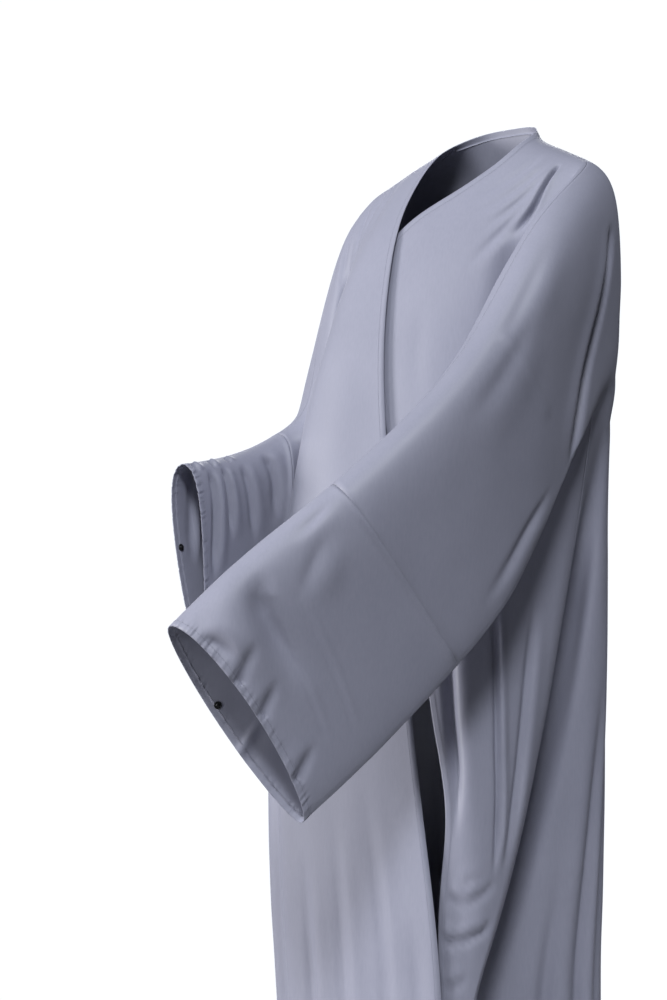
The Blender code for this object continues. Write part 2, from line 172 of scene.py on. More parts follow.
LEFT_SLEEVE = named(Station, (
    ((0.140, -0.100, -0.130), (0.170, -0.015, -0.400), -12, 0.036, 0.050),
    ((0.125, -0.175, -0.245), (0.165, -0.065, -0.475), -24, 0.034, 0.052),
    ((0.115, -0.230, -0.320), (0.160, -0.110, -0.545), -32, 0.034, 0.046),
    ((0.095, -0.295, -0.380), (0.150, -0.165, -0.625), -36, 0.036, 0.044),
    ((0.040, -0.375, -0.470), (0.123, -0.215, -0.688), -38, 0.038, 0.042),
    ((-0.030, -0.450, -0.545), (0.055, -0.305, -0.805), -38, 0.040, 0.040, 0.008, -0.012),
    ((-0.100, -0.505, -0.635), (0.005, -0.380, -0.880), -38, 0.040, 0.038, 0.016, -0.026),
))
RIGHT_SLEEVE = named(Station, (
    ((-0.238, -0.012, -0.100), (-0.246, 0.024, -0.436), 55, 0.050, 0.048),
    ((-0.262, -0.026, -0.190), (-0.260, -0.004, -0.515), 40, 0.044, 0.046),
    ((-0.272, -0.040, -0.280), (-0.265, -0.035, -0.580), 30, 0.038, 0.040),
    ((-0.272, -0.052, -0.362), (-0.275, -0.062, -0.630), 20, 0.034, 0.036),
    ((-0.301, -0.080, -0.392), (-0.287, -0.090, -0.660), 8, 0.030, 0.034),
    ((-0.308, -0.165, -0.425), (-0.296, -0.170, -0.700), 4, 0.026, 0.030),
    ((-0.305, -0.275, -0.437), (-0.286, -0.260, -0.700), 4, 0.020, 0.022, -0.010, 0.013),
))

# How far the back half of a sleeve is pushed in behind the roll of its under-seam, in metres,
# by station and drop row
SLEEVE_DENTS = {
    "left": {(1, 4): 0.016, (1, 5): 0.008, (2, 5): 0.009, (2, 4): -0.004},
    "right": {(1, 4): 0.010, (2, 4): 0.006, (2, 5): 0.004},
}

# The broad folds of the skirt: how far each column stands out, or in where negative, at the hem
WAVE_AXIS = Vector((0.0, -0.020, 0.0))
WAVE_GROWTH = 0.7
FRONT_WAVES = {
    "left": (0.0,) * len(FRONT_SHARES),
    "right": (0.0, 0.004, -0.006, 0.007, -0.004, 0.0),
}
BACK_WAVES = (0.0, 0.0, 0.0, 0.006, -0.010, 0.009, -0.010, 0.007)

PANELS = ("front_left", "front_right", "back", "sleeve_extension_left", "sleeve_extension_right")
SHEETS = ("front", "back", "sleeve_front", "sleeve_back")
SIDES = ("left", "right")

# Cloth: its wall, its seams, and the turned hems with their raised band
SHELL = 0.0009
SEAM_GAP = 0.0001
SEAM_DIP = 0.0001
SEAM_RIDGE = 0.0002
SEAM_REACH = 0.006
HEM_WIDTH = 0.0095
HEM_FADE = 0.003
HEM_RISE = 0.0004
HEM_COLUMNS = (0.0006, 0.0035, 0.0065, 0.0095)
HEM_GAP = 0.0002
HEM_FOLD = 0.0005
HEM_STEP = 0.004
EDGE_STEP = 0.0008
TINY = 1e-12
SAME_POINT_DIGITS = 6

# Slack: its height, its waves along x, y and z, and where its noise starts
SLACKS = ((0.0016, (9, 9, 4), (3, 0, 0)), (0.0004, (28, 28, 14), (0, 7, 0)))

# How finely the cloth is smoothed. The back is thinned where it is clear of its edges.
FINE_LEVEL = 4
CUFF_LEVEL = 5
THINNED_PIECE = "back_cloth"
THINNED_TO = 0.70
THINNED_FROM = 0.0015

# Stitches, and how far and how often a step from an edge is tried to find the panel's inside
STITCH_INSIDE = 0.0083
STITCH_STEP = 0.0032
STITCH_LENGTH = 0.0025
STITCH_HALF = 0.00032
TRY_INSIDE = 0.006
TRIES = 12

# Folds: how many points their lines have, how many widths they reach, how far rise and dip stand
# apart, and how much a point has to face the way that the line does. LAST_CELL keeps a place
# inside its sheet. The cloth stays calm near the snaps and along the front of the armholes.
PATH_POINTS = 40
FOLD_REACH = 3.0
FOLD_SHIFT = 0.7
FACING_ENOUGH = 0.4
LEAST_FADE = 1e-3
LAST_CELL = 1.001
CALM_NEAR, CALM_FAR = 0.007, 0.022
ARMHOLE_CALM = 0.016

# A fold's line is given in the rows and columns of its sheet (on a sleeve: drop rows and stations).
# Its widths, rise and dip are in metres, and its fades are shares of its length, where the row
# gives none 0.3 and 0.5. The rise lies on the left of the line's way, seen from outside.
Fold = namedtuple("Fold", "path start_width end_width rise dip fade_in fade_out", defaults=(0.3, 0.5))

LEFT_FRONT_FOLDS = named(Fold, (
    # the deep narrow fold that drops from the shoulder seam, and the soft one beside its end
    (((0.75, 3.1), (1.5, 3), (2.1, 3), (2.9, 2.75)), 0.0036, 0.005, 0.001, 0.014, 0.18, 0.45),
    (((1.9, 3.35), (2.5, 3.05), (3.3, 2.5)), 0.01, 0.016, 0.001, 0.004, 0.4, 0.5),
    # the hollow between the chest and the arm
    (((5.4, 2.6), (4.5, 2.85), (3.6, 2.9), (2.5, 2.95)), 0.024, 0.013, 0, 0.01, 0.4, 0.5),
    # soft drag lines over the upper chest
    (((0.7, 2), (1.7, 1.5), (2.9, 0.8)), 0.009, 0.013, 0.0018, 0.0022),
    (((0.9, 2.6), (1.9, 2.05), (3.1, 1.2)), 0.008, 0.012, 0.0022, 0.0028, 0.25, 0.5),
    (((1.2, 2.85), (2.2, 2.4), (3.3, 1.7)), 0.007, 0.011, 0.0024, 0.003, 0.25, 0.5),
    (((1.9, 2.8), (2.9, 2.4), (4.1, 1.9)), 0.007, 0.012, 0.002, 0.0026),
    (((4.6, 1.3), (5.4, 1.15), (6.2, 1)), 0.02, 0.022, 0.0005, 0.0015, 0.4, 0.4),
    # the panel's side under the arm: a shaded trough, a pressed crease and the sags low down
    (((7.6, 1.1), (8.7, 1), (9.4, 1), (10.3, 0.85)), 0.014, 0.012, 0.003, 0.011, 0.3, 0.4),
    (((7.7, 2.45), (9, 2.7), (9.6, 2.95), (10.4, 3.4)), 0.006, 0.006, 0.004, 0.008, 0.15, 0.2),
    (((7.6, 3.7), (8.8, 3.8), (10.4, 4.1)), 0.01, 0.008, 0.003, 0.007, 0.3, 0.3),
    (((11.25, 0.1), (11.12, 1.7), (10.85, 3.8)), 0.0095, 0.008, 0.003, 0.006, 0.15, 0.2),
    (((10.8, 0.2), (10.7, 1.8), (10.4, 3.4)), 0.01, 0.009, 0.002, 0.004, 0.2, 0.3),
    (((10.6, 0.9), (10.35, 3)), 0.008, 0.008, 0.001, 0.002, 0.3, 0.4),
    (((11.7, 0.2), (11.5, 2.6)), 0.01, 0.008, 0.002, 0.004, 0.2, 0.3),
    (((12.2, 2.2), (13.2, 2.3), (14, 2.3)), 0.007, 0.01, 0.002, 0.003, 0.4, 0.05),
))

RIGHT_FRONT_FOLDS = named(Fold, (
    # soft drag lines from the shoulder
    (((0.5, 1.8), (1.8, 1.6), (3.6, 1.3)), 0.014, 0.02, 0.0016, 0.0018),
    (((0.6, 2.9), (1.8, 2.7), (3.2, 2.4)), 0.01, 0.016, 0.002, 0.003),
    (((0.9, 3.9), (1.8, 3.7), (2.9, 3.5)), 0.01, 0.014, 0.001, 0.004),
    (((4.4, 0.9), (6, 0.9), (7.6, 1)), 0.026, 0.03, 0.0008, 0.001, 0.4, 0.4),
    # long soft folds down the skirt
    (((10.2, 1.35), (12, 1.4), (14, 1.45)), 0.013, 0.018, 0.003, 0.005, 0.4, 0.05),
    (((9.8, 0.85), (11.5, 0.9), (14, 0.95)), 0.011, 0.016, 0.003, 0.004, 0.4, 0.05),
    (((9.4, 0.5), (11.5, 0.45), (13.95, 0.5)), 0.01, 0.014, 0.002, 0.004, 0.4, 0.05),
    (((10.7, 0.15), (12.2, 0.17), (14, 0.2)), 0.006, 0.009, 0.002, 0.005, 0.3, 0.05),
    (((7.2, 2.2), (9.5, 2.1), (12, 2.15), (14, 2.2)), 0.014, 0.022, 0.003, 0.006, 0.3, 0.05),
    (((6.8, 3), (9, 3.1), (11.8, 3), (14, 3.05)), 0.012, 0.02, 0.004, 0.007, 0.3, 0.05),
    (((7.5, 3.9), (10, 3.85), (14, 3.9)), 0.01, 0.016, 0.003, 0.006, 0.3, 0.05),
    # short pressed lines below the cuff
    (((9.7, 0.02), (9.8, 0.45)), 0.0035, 0.0035, 0.0008, 0.001, 0.1, 0.5),
    (((9.85, 0.02), (9.97, 0.4)), 0.0035, 0.0035, 0.0008, 0.001, 0.1, 0.5),
    (((10.05, 0.1), (10.12, 0.5)), 0.0035, 0.0035, 0.0006, 0.0008, 0.2, 0.5),
))

LEFT_BACK_FOLDS = named(Fold, (
    # the deep fold behind the side seam, then broad soft folds of the skirt
    (((14, 1.1), (11, 1.2), (9, 1.25), (6.8, 1.1)), 0.019, 0.015, 0, 0.036, 0.05, 0.2),
    (((14, 2.95), (11.5, 2.85), (10, 2.8), (8.2, 2.75)), 0.02, 0.013, 0.006, 0.014, 0.03, 0.4),
    (((14, 2.45), (12, 2.4), (10.2, 2.3)), 0.015, 0.011, 0.005, 0.009, 0.03, 0.5),
    (((14, 3.5), (11.5, 3.45), (9, 3.4), (7, 3.3)), 0.018, 0.012, 0.005, 0.012, 0.03, 0.4),
    (((10.4, 2.5), (10.5, 2.95)), 0.006, 0.006, 0.001, 0.0015, 0.3, 0.4),
    # folds of the middle of the back, and the drag lines from the underarm to the neck
    (((14, 4.4), (11, 4.4), (7.5, 4.3)), 0.022, 0.014, 0.004, 0.007, 0.03, 0.4),
    (((14, 5.5), (10.5, 5.6), (7.8, 5.5)), 0.024, 0.016, 0.004, 0.006, 0.03, 0.4),
    (((14, 6.5), (11.5, 6.4), (9.2, 6.5)), 0.024, 0.016, 0.003, 0.005, 0.03, 0.5),
    (((6.4, 1.3), (4.8, 3.2), (3, 5)), 0.012, 0.018, 0.002, 0.003),
    (((5.4, 1), (3.8, 2.6), (2.2, 4.4)), 0.01, 0.016, 0.0012, 0.002),
    (((4, 0.8), (2.6, 2), (1.4, 3.4)), 0.009, 0.014, 0.001, 0.0014),
))

RIGHT_BACK_FOLDS = named(Fold, (
    # long soft folds of the skirt, then drag lines from the underarm
    (((8, 2.75), (10.2, 2.85), (12, 2.8), (14, 2.9)), 0.012, 0.02, 0.005, 0.008, 0.4, 0.03),
    (((8.8, 2.2), (11.5, 2.3), (14, 2.3)), 0.012, 0.018, 0.004, 0.006, 0.4, 0.03),
    (((7.4, 3.6), (10, 3.5), (14, 3.6)), 0.013, 0.02, 0.004, 0.007, 0.4, 0.03),
    (((8.2, 4.5), (11, 4.6), (14, 4.5)), 0.014, 0.022, 0.004, 0.006, 0.4, 0.03),
    (((7.2, 5.8), (10.5, 5.7), (14, 5.8)), 0.015, 0.024, 0.004, 0.006, 0.4, 0.03),
    (((6.3, 1.4), (4.6, 3.4), (3.2, 5.2)), 0.012, 0.018, 0.003, 0.006),
    (((5.2, 1.2), (3.6, 2.9), (2, 4.7)), 0.01, 0.016, 0.003, 0.005),
))

LEFT_SLEEVE_BACK_FOLDS = named(Fold, (
    # the roll along the under-seam at the armhole, with the dark trough behind it
    (((5.4, 1.9), (4.9, 1.5), (4.3, 1.1), (3.5, 0.6), (2.75, 0.25), (1.9, 0)),
     0.014, 0.01, 0.003, 0.02, 0.3, 0.2),
    # the pressed line of the wing
    (((1.05, 2.35), (2.5, 2.2), (3.9, 2)), 0.006, 0.006, 0.002, 0, 0.1, 0.15),
    # soft drag of the wing towards the elbow
    (((1.3, 0.9), (1.7, 1.9), (1.8, 2.9)), 0.016, 0.02, 0.002, 0.003, 0.4, 0.5),
    (((2.2, 1.6), (2.4, 2.6), (2.4, 3.6)), 0.018, 0.024, 0.002, 0.003, 0.4, 0.5),
    (((5.2, 2.2), (5, 3.2), (5.1, 4.4)), 0.01, 0.014, 0.002, 0.004, 0.4, 0.4),
    # folds of the forearm and behind the wrist
    (((1.1, 5.1), (1.4, 5.7)), 0.01, 0.013, 0.0012, 0.003, 0.4, 0.5),
    (((1.7, 5.25), (2.6, 5.95)), 0.014, 0.017, 0.003, 0.003, 0.5, 0.5),
    (((3.6, 6.6), (2.4, 6.5), (1.5, 6.35), (0.9, 6)), 0.03, 0.02, 0.006, 0.013, 0.5, 0.4),
    (((1.3, 6.95), (1.8, 6.8), (2.6, 6.7)), 0.011, 0.015, 0.003, 0.005),
    (((1.7, 6.2), (3, 6.3), (4.6, 6.45)), 0.004, 0.004, 0.0012, 0.0012, 0.3, 0.3),
    (((1.9, 5.9), (3.3, 6), (4.9, 6.15)), 0.004, 0.004, 0.001, 0.0012, 0.3, 0.3),
    # dents that run in from the cuff
    (((2.6, 7), (2.2, 6.55)), 0.013, 0.011, 0.003, 0.006, 0, 0.7),
    (((3.3, 7), (3, 6.6)), 0.012, 0.01, 0.002, 0.005, 0, 0.7),
    (((4.5, 7), (4.2, 6.6)), 0.012, 0.01, 0.002, 0.005, 0, 0.7),
))

LEFT_SLEEVE_FRONT_FOLDS = named(Fold, (
    # the flap of the front half over the arm, and soft folds on its hidden side
    (((0.9, 1.2), (1, 2.2), (1.1, 3.6)), 0.01, 0.014, 0.002, 0.004, 0.3, 0.4),
    (((2.4, 2), (2.5, 3.4), (2.3, 4.6)), 0.014, 0.018, 0.003, 0.004, 0.4, 0.4),
    (((3.6, 2.4), (3.7, 3.8), (3.5, 4.8)), 0.012, 0.016, 0.002, 0.004, 0.4, 0.4),
    (((3.8, 7), (3.6, 6.6)), 0.01, 0.008, 0.002, 0.003, 0, 0.6),
))

RIGHT_SLEEVE_FRONT_FOLDS = named(Fold, (
    # the line where the sleeve leaves the body, then the hanging folds near the cuff
    (((0.5, 0.4), (1.6, 0.6), (2.6, 0.9)), 0.01, 0.012, 0.001, 0.004),
    (((0.8, 6.65), (1.9, 6.62), (2.9, 6.65), (3.9, 6.7)), 0.007, 0.01, 0.004, 0.01, 0.15, 0.4),
    (((0.8, 6.4), (1.8, 6.35), (3.1, 6.3)), 0.006, 0.009, 0.003, 0.008, 0.15, 0.4),
    (((0.9, 6.05), (2.1, 5.9), (3.3, 5.75)), 0.008, 0.012, 0.003, 0.006, 0.2, 0.4),
    (((0.7, 5.6), (1.9, 5.35), (3.2, 5.2)), 0.01, 0.014, 0.003, 0.006, 0.2, 0.4),
    (((1, 4.6), (2.4, 4.3), (3.8, 4.2)), 0.012, 0.016, 0.003, 0.006, 0.3, 0.4),
    (((0.15, 6.86), (1, 6.83)), 0.004, 0.005, 0.003, 0.005, 0.1, 0.4),
    (((0.15, 6.55), (0.9, 6.52)), 0.004, 0.005, 0.003, 0.005, 0.1, 0.4),
    (((0.15, 6.25), (0.8, 6.2)), 0.004, 0.005, 0.002, 0.004, 0.1, 0.4),
))

RIGHT_SLEEVE_BACK_FOLDS = named(Fold, (
    # the roll along the under-seam, then the hanging folds from the cuff to the elbow
    (((1.9, 0), (2.8, 0.3), (3.6, 0.8), (4.4, 1.3), (5.2, 1.9)), 0.006, 0.01, 0.004, 0.014, 0.25, 0.3),
    (((0.9, 6.6), (2.2, 6.6), (3.6, 6.7)), 0.007, 0.01, 0.003, 0.006, 0.2, 0.4),
    (((0.9, 6.15), (2.2, 6.05), (3.8, 6)), 0.008, 0.012, 0.003, 0.006, 0.2, 0.4),
    (((0.8, 5.4), (2.4, 5.2), (4.2, 5.1)), 0.01, 0.015, 0.003, 0.006, 0.2, 0.4),
    (((1.2, 4.2), (2.8, 4), (4.4, 4.1)), 0.012, 0.016, 0.003, 0.006, 0.3, 0.4),
    (((1.4, 2.4), (2.6, 2.8), (3.6, 3.4)), 0.014, 0.018, 0.003, 0.005, 0.4, 0.4),
))

# The seam that joins each sleeve to its extension stands up as a soft rounded ridge
SEAM_ROLL = Fold(((0.0, 5.0), (3.0, 5.0), (6.0, 5.0)), 0.0055, 0.0055, 0.0045, 0.0, 0.3, 0.1)

# The small slanting puckers that the stitching draws into a cuff: their rows, their slant and
# length in rows and stations, their width and uneven height in metres, and how far the waves of
# their unevenness turn from one to the next
PUCKER_COUNT = 30
PUCKER_FIRST, PUCKER_LAST = 0.35, 5.7
PUCKER_SHIFT = 0.3
PUCKER_SLANT = 0.07
PUCKER_LENGTH = 0.13
PUCKER_WIDTH = 0.0024
PUCKER_HEIGHT, PUCKER_SPREAD = 0.0006, 0.0003
SHIFT_TURN, HEIGHT_TURN = 2.3, 1.7
CUFF = float(len(LEFT_SLEEVE))


def puckers(turn):
    """Puckers along a cuff, unevenly spaced and of uneven height."""
    made = []
    for n in range(PUCKER_COUNT):
        spot = n + PUCKER_SHIFT * math.sin(n * SHIFT_TURN + turn)
        row = PUCKER_FIRST + (PUCKER_LAST - PUCKER_FIRST) * spot / PUCKER_COUNT
        height = PUCKER_HEIGHT + PUCKER_SPREAD * math.sin(n * HEIGHT_TURN + turn)
        line = ((row, CUFF), (row - PUCKER_SLANT, CUFF - PUCKER_LENGTH))
        made.append(Fold(line, PUCKER_WIDTH, PUCKER_WIDTH, height, height, 0.0, 0.5))
    return tuple(made)


FOLDS = {
    ("left", "front"): LEFT_FRONT_FOLDS,
    ("left", "back"): LEFT_BACK_FOLDS,
    ("left", "sleeve_front"): LEFT_SLEEVE_FRONT_FOLDS + puckers(0.4) + (SEAM_ROLL,),
    ("left", "sleeve_back"): LEFT_SLEEVE_BACK_FOLDS + puckers(0.0) + (SEAM_ROLL,),
    ("right", "front"): RIGHT_FRONT_FOLDS,
    ("right", "back"): RIGHT_BACK_FOLDS,
    ("right", "sleeve_front"): RIGHT_SLEEVE_FRONT_FOLDS + puckers(1.1) + (SEAM_ROLL,),
    ("right", "sleeve_back"): RIGHT_SLEEVE_BACK_FOLDS + puckers(1.9) + (SEAM_ROLL,),
}

# The body's panels, and the sleeve extensions, which are smoothed more finely
BODY_PANELS = ("back", "front_left", "front_right")
CUFF_PANELS = ("sleeve_extension_left", "sleeve_extension_right")

# The double line of stitches inside a sleeve's under-seam: its drop rows, and where it starts and
# ends along the sleeve, on the extension and on the panel that it is sewn to
UNDER_SEAM_ROWS = (5.67, 5.45)
UNDER_SEAM_RUNS = {"extension": (6.98, 5.03), "body": (4.97, 3.3)}

# Snaps: radius and share of the height along the profile, and roughly the way each one faces
SNAP_SIDES = 24
SNAP_PROFILE = (
    (0.0048, 0.0), (0.0048, 0.35), (0.0045, 0.5), (0.0037, 0.5), (0.0035, 0.32),
    (0.0022, 0.32), (0.0021, 0.8), (0.0016, 1.0), (0.0006, 1.0),
)
SNAP_INNER = {"snap_left": (0.68, -0.73, 0.0), "snap_right": (0.98, 0.1, 0.1)}

# Surfaces: deep and light colours, roughness, the fineness of each grain, the lines drawn in the
# relief beside a hem's edge and on a seam, and the shares of clouds and threads in the shade and
# of lines and grains in the relief. Most of a noise lies between two values.
CREPE_COLOURS = ((0.230, 0.235, 0.302, 1.0), (0.262, 0.266, 0.338, 1.0))
THREAD_COLOURS = ((0.17, 0.173, 0.225, 1.0), (0.27, 0.272, 0.34, 1.0))
SNAP_COLOUR = (0.012, 0.012, 0.014, 1.0)
CREPE_ROUGH, SNAP_ROUGH = (0.48, 0.58), (0.28, 0.42)
CLOUD_GRAIN, PEBBLE_GRAIN, THREAD_GRAIN = 7.0, 1500.0, 420.0
SPECKLE_GRAIN, WEAR_GRAIN = 900.0, 1200.0
THREAD_STRETCH = (1.0, 1.0, 0.18)
MOST_NOISE = (0.3, 0.7)
HEM_LINE_INSIDE, HEM_LINE_HALF = 0.0012, 0.0009
SEAM_LINE_HALF = 0.0012
SHADE_SHARES, LINE_HEIGHTS, GRAIN_HEIGHTS = (0.6, 0.4), (-0.35, -0.05), (0.05, 0.06)

# View: worked out from the photograph's perspective
VIEW_TURN = math.radians(40)
VIEW_DISTANCE = 2.4
VIEW_ASIDE = 0.2074
EYE_HEIGHT = -0.49
FOCAL_PIXELS = 1776
IMAGE_HEIGHT = 1000
SENSOR = 36.0

# Studio: the floor, the sky by the ways that it lies, and the lamps by name, place, size, power
# in watts and colour
FLOOR_RADIUS = 0.95
FLOOR_SIDES = 96
FLOOR_HEIGHT = -1.45
FLOOR_COLOUR = (0.58, 0.58, 0.59, 1.0)
DARK_SIDE = (0.766, 0.643, 0.0)
DARK_FROM, DARK_TO = -0.6, 0.6
SKY_BRIGHT, SKY_DARK = 0.25, 0.05
SKY_COLOUR = (0.95, 0.97, 1.0, 1.0)
BACKDROP_WAY = (-0.643, 0.766, 0.0)
BACKDROP_FROM, BACKDROP_TO = 0.86, 0.945
BACKDROP_STRENGTH = 1.06
LAMP_AIM = Vector((0.0, -0.05, -0.45))
LAMPS = (
    ("key", (-4.4, -4.0, -0.3), 2.0, 315.0, (1.0, 0.99, 0.98)),
    ("front", (-0.9, -4.4, 0.5), 1.2, 42.0, (0.97, 0.99, 1.0)),
    ("high", (2.6, -3.8, 4.1), 1.5, 372.0, (0.94, 0.97, 1.0)),
    ("back", (-1.6, 2.4, 1.3), 1.4, 34.0, (1.0, 1.0, 1.0)),
)


def front_point(row, share):
    """A point of a front panel's row: a cubic curve drawn from both ends towards the corner."""
    edge, side = Vector(row.edge), Vector(row.side)
    corner = Vector((*row.corner, (edge.z + side.z) / 2))
    first, second = edge.lerp(corner, CORNER_PULL), side.lerp(corner, CORNER_PULL)
    rest = 1 - share
    point = edge * rest ** 3 + first * 3 * share * rest ** 2 + second * 3 * share ** 2 * rest
    return point + side * share ** 3


def waved(line, waves, row):
    """A row of the skirt with its broad folds, which grow from nothing at the underarm."""
    share = max(row - APEX_ROW, 0) / (len(BACK_MIDDLE) - 1 - APEX_ROW)
    moved = []
    for point, wave in zip(line, waves):
        outward = Vector((point.x, point.y, 0.0)) - WAVE_AXIS
        moved.append(point + outward.normalized() * wave * share ** WAVE_GROWTH)
    return moved


def front_grid(rows, waves):
    """A front panel's points, row by row from the shoulder to the hem."""
    grid = [[front_point(row, share) for share in FRONT_SHARES] for row in rows]
    return [waved(line, waves, number) for number, line in enumerate(grid)]


def quarter_turn(start, end, share):
    """A point on the quarter ellipse that leaves start along Y and reaches end along X."""
    turn = share * math.pi / 2
    return Vector((
        end.x + (start.x - end.x) * math.cos(turn),
        start.y + (end.y - start.y) * math.sin(turn),
        start.z + (end.z - start.z) * share,
    ))


def back_grid(front, armhole, lower_rows):
    """Half of the back, from the side to the middle; its first row is the shoulder seam."""
    columns = len(FRONT_SHARES) + 2
    neck = front[0][0]
    middles = [Vector((0.0, *middle)) for middle in BACK_MIDDLE]
    neck_side = Vector((neck.x, middles[0].y, middles[0].z))
    grid = [front[0][::-1] + [neck_side.lerp(middles[0], 1 - BACK_NECK_SHARE), middles[0]]]
    for start, end in zip(armhole, middles[1:]):
        grid.append([quarter_turn(Vector(start), end, n / (columns - 1)) for n in range(columns)])
    for number, row in enumerate(lower_rows, APEX_ROW):
        side, middle = front[number][-1], middles[number]
        line = [side] + [Vector((*place, side.z)) for place in row]
        line += [quarter_turn(line[-1], middle, share) for share in BLADE_SHARES] + [middle]
        grid.append(waved(line, BACK_WAVES, number))
    return grid


def sleeve_rings(front, back, stations, dents, side_sign):
    """Rings down a sleeve, each a pair of half rings (front, back) from the arm to the seam."""
    rings = [([row[-1] for row in front[:APEX_ROW + 1]], [row[0] for row in back[:APEX_ROW + 1]])]
    overs = [front[0][-1]] + [Vector(station.over) for station in stations]
    for number, station in enumerate(stations, 1):
        over, under = Vector(station.over), Vector(station.under)
        along = (overs[min(number + 1, len(overs) - 1)] - overs[number - 1]).normalized()
        drop = under - over
        facing = math.radians(station.facing)
        outward = Vector((side_sign * math.cos(facing), math.sin(facing), 0.0))
        front_half, back_half = [], []
        for drop_row, (share, fullness) in enumerate(zip(SLEEVE_DROPS, SLEEVE_FULLNESS)):
            base = over + drop * share
            reach = along * math.sin(share * math.pi) ** REACH_ROUNDNESS if 0 < share < 1 else Vector()
            front_half.append(base - outward * station.front_off * fullness + reach * station.front_reach)
            off = station.back_off * fullness - dents.get((number, drop_row), 0.0)
            back_half.append(base + outward * off + reach * station.back_reach)
        rings.append((front_half, back_half))
    return rings


def add_grid(net, grid, panel, sheet, flip, first_column=0):
    """Faces between a grid's points. Each corner keeps its place in the sheet: row and column."""
    for i, (upper, lower) in enumerate(zip(grid, grid[1:])):
        for j in range(len(upper) - 1):
            corners = [(i, j), (i, j + 1), (i + 1, j + 1), (i + 1, j)]
            if flip:
                corners.reverse()
            verts, places = [], []
            for row, column in corners:
                point = (upper, lower)[row - i][column]
                key = tuple(round(value, SAME_POINT_DIGITS) for value in point)
                if key not in net["verts"]:
                    net["verts"][key] = net["bm"].verts.new(point)
                verts.append(net["verts"][key])
                places.append((row, first_column + column))
            face = net["bm"].faces.new(verts)
            face[net["panel"]] = PANELS.index(panel)
            face[net["sheet"]] = sheet
            for loop, place in zip(face.loops, places):
                loop[net["place"]].uv = place


def sheet_number(side, kind):
    """Each side has its own four sheets."""
    return SIDES.index(side) * len(SHEETS) + SHEETS.index(kind)


def garment_net():
    """The whole net of the cloth. Its faces look outward and know their panel and sheet."""
    bm = bmesh.new()
    net = {
        "bm": bm,
        "verts": {},
        "panel": bm.faces.layers.int.new("panel"),
        "sheet": bm.faces.layers.int.new("sheet"),
        "place": bm.loops.layers.uv.new("place"),
    }
    sides = (
        ("left", LEFT_FRONT, LEFT_ARMHOLE_BACK, LEFT_BACK, LEFT_SLEEVE, 1),
        ("right", RIGHT_FRONT, RIGHT_ARMHOLE_BACK, RIGHT_BACK, RIGHT_SLEEVE, -1),
    )
    for name, front_rows, armhole, back_rows, stations, sign in sides:
        mirrored = sign < 0
        front = front_grid(front_rows, FRONT_WAVES[name])
        back = back_grid(front, armhole, back_rows)
        add_grid(net, front, "front_" + name, sheet_number(name, "front"), not mirrored)
        add_grid(net, back, "back", sheet_number(name, "back"), not mirrored)
        rings = sleeve_rings(front, back, stations, SLEEVE_DENTS[name], sign)
        halves = (("front_" + name, "sleeve_front", not mirrored), ("back", "sleeve_back", mirrored))
        for number, (ring, following) in enumerate(zip(rings, rings[1:])):
            extension = "sleeve_extension_" + name if number >= EXTENSION_STATION else None
            for half, (panel, kind, flip) in enumerate(halves):
                strip = list(zip(ring[half], following[half]))
                add_grid(net, strip, extension or panel, sheet_number(name, kind), flip, number)
    return bm


def placed(name, data):
    """A new object in the scene."""
    item = bpy.data.objects.new(name, data)
    bpy.context.scene.collection.objects.link(item)
    return item


def read(items, name, kind, width):
    """One property of all items as an array, with a row for each item where it is wider than 1."""
    values = np.empty(len(items) * width, dtype=kind)
    items.foreach_get(name, values)
    return values.reshape(-1, width) if width > 1 else values


def smooth_cloth(level):
    """The net smoothed to a level, as arrays: points, normals, and for each face its corners,
    their places in the sheet, its panel and its sheet."""
    rough = bpy.data.meshes.new("net")
    bm = garment_net()
    bm.to_mesh(rough)
    bm.free()
    carrier = placed("net", rough)
    smoothing = carrier.modifiers.new("smoothing", "SUBSURF")
    smoothing.levels = level
    smoothing.render_levels = level
    smoothing.uv_smooth = "NONE"
    shown = carrier.evaluated_get(bpy.context.evaluated_depsgraph_get())
    fine = bpy.data.meshes.new_from_object(shown)
    cloth = {
        "points": read(fine.vertices, "co", np.float32, 3).astype(float),
        "normals": read(fine.vertices, "normal", np.float32, 3).astype(float),
        "faces": read(fine.loops, "vertex_index", np.int32, 1).reshape(-1, 4),
        "places": read(fine.uv_layers["place"].uv, "vector", np.float32, 2).reshape(-1, 4, 2),
        "panel": read(fine.attributes["panel"].data, "value", np.int32, 1),
        "sheet": read(fine.attributes["sheet"].data, "value", np.int32, 1),
        "steps": 2 ** level,
    }
    bpy.data.objects.remove(carrier)
    bpy.data.meshes.remove(rough)
    bpy.data.meshes.remove(fine)
    return cloth


def sheet_tables(cloth):
    """For each sheet, the points and normals of the smoothed cloth by finely stepped row, column."""
    tables = {}
    for number in range(len(SIDES) * len(SHEETS)):
        faces = cloth["sheet"] == number
        spots = np.rint(cloth["places"][faces].reshape(-1, 2) * cloth["steps"]).astype(int)
        corners = cloth["faces"][faces].reshape(-1)
        table = np.zeros((*(spots.max(axis=0) + 1), 6))
        table[spots[:, 0], spots[:, 1], :3] = cloth["points"][corners]
        table[spots[:, 0], spots[:, 1], 3:] = cloth["normals"][corners]
        tables[number] = table
    return tables


def on_sheet(table, steps, places):
    """Points and normals at the given rows and columns of a sheet."""
    spots = np.clip(np.asarray(places) * steps, 0, np.array(table.shape[:2]) - LAST_CELL)
    low = np.floor(spots).astype(int)
    row, column = low.T
    down, across = (spots - low).T[:, :, None]
    near = table[row, column] * (1 - across) + table[row, column + 1] * across
    far = table[row + 1, column] * (1 - across) + table[row + 1, column + 1] * across
    both = near * (1 - down) + far * down
    return both[:, :3], both[:, 3:]


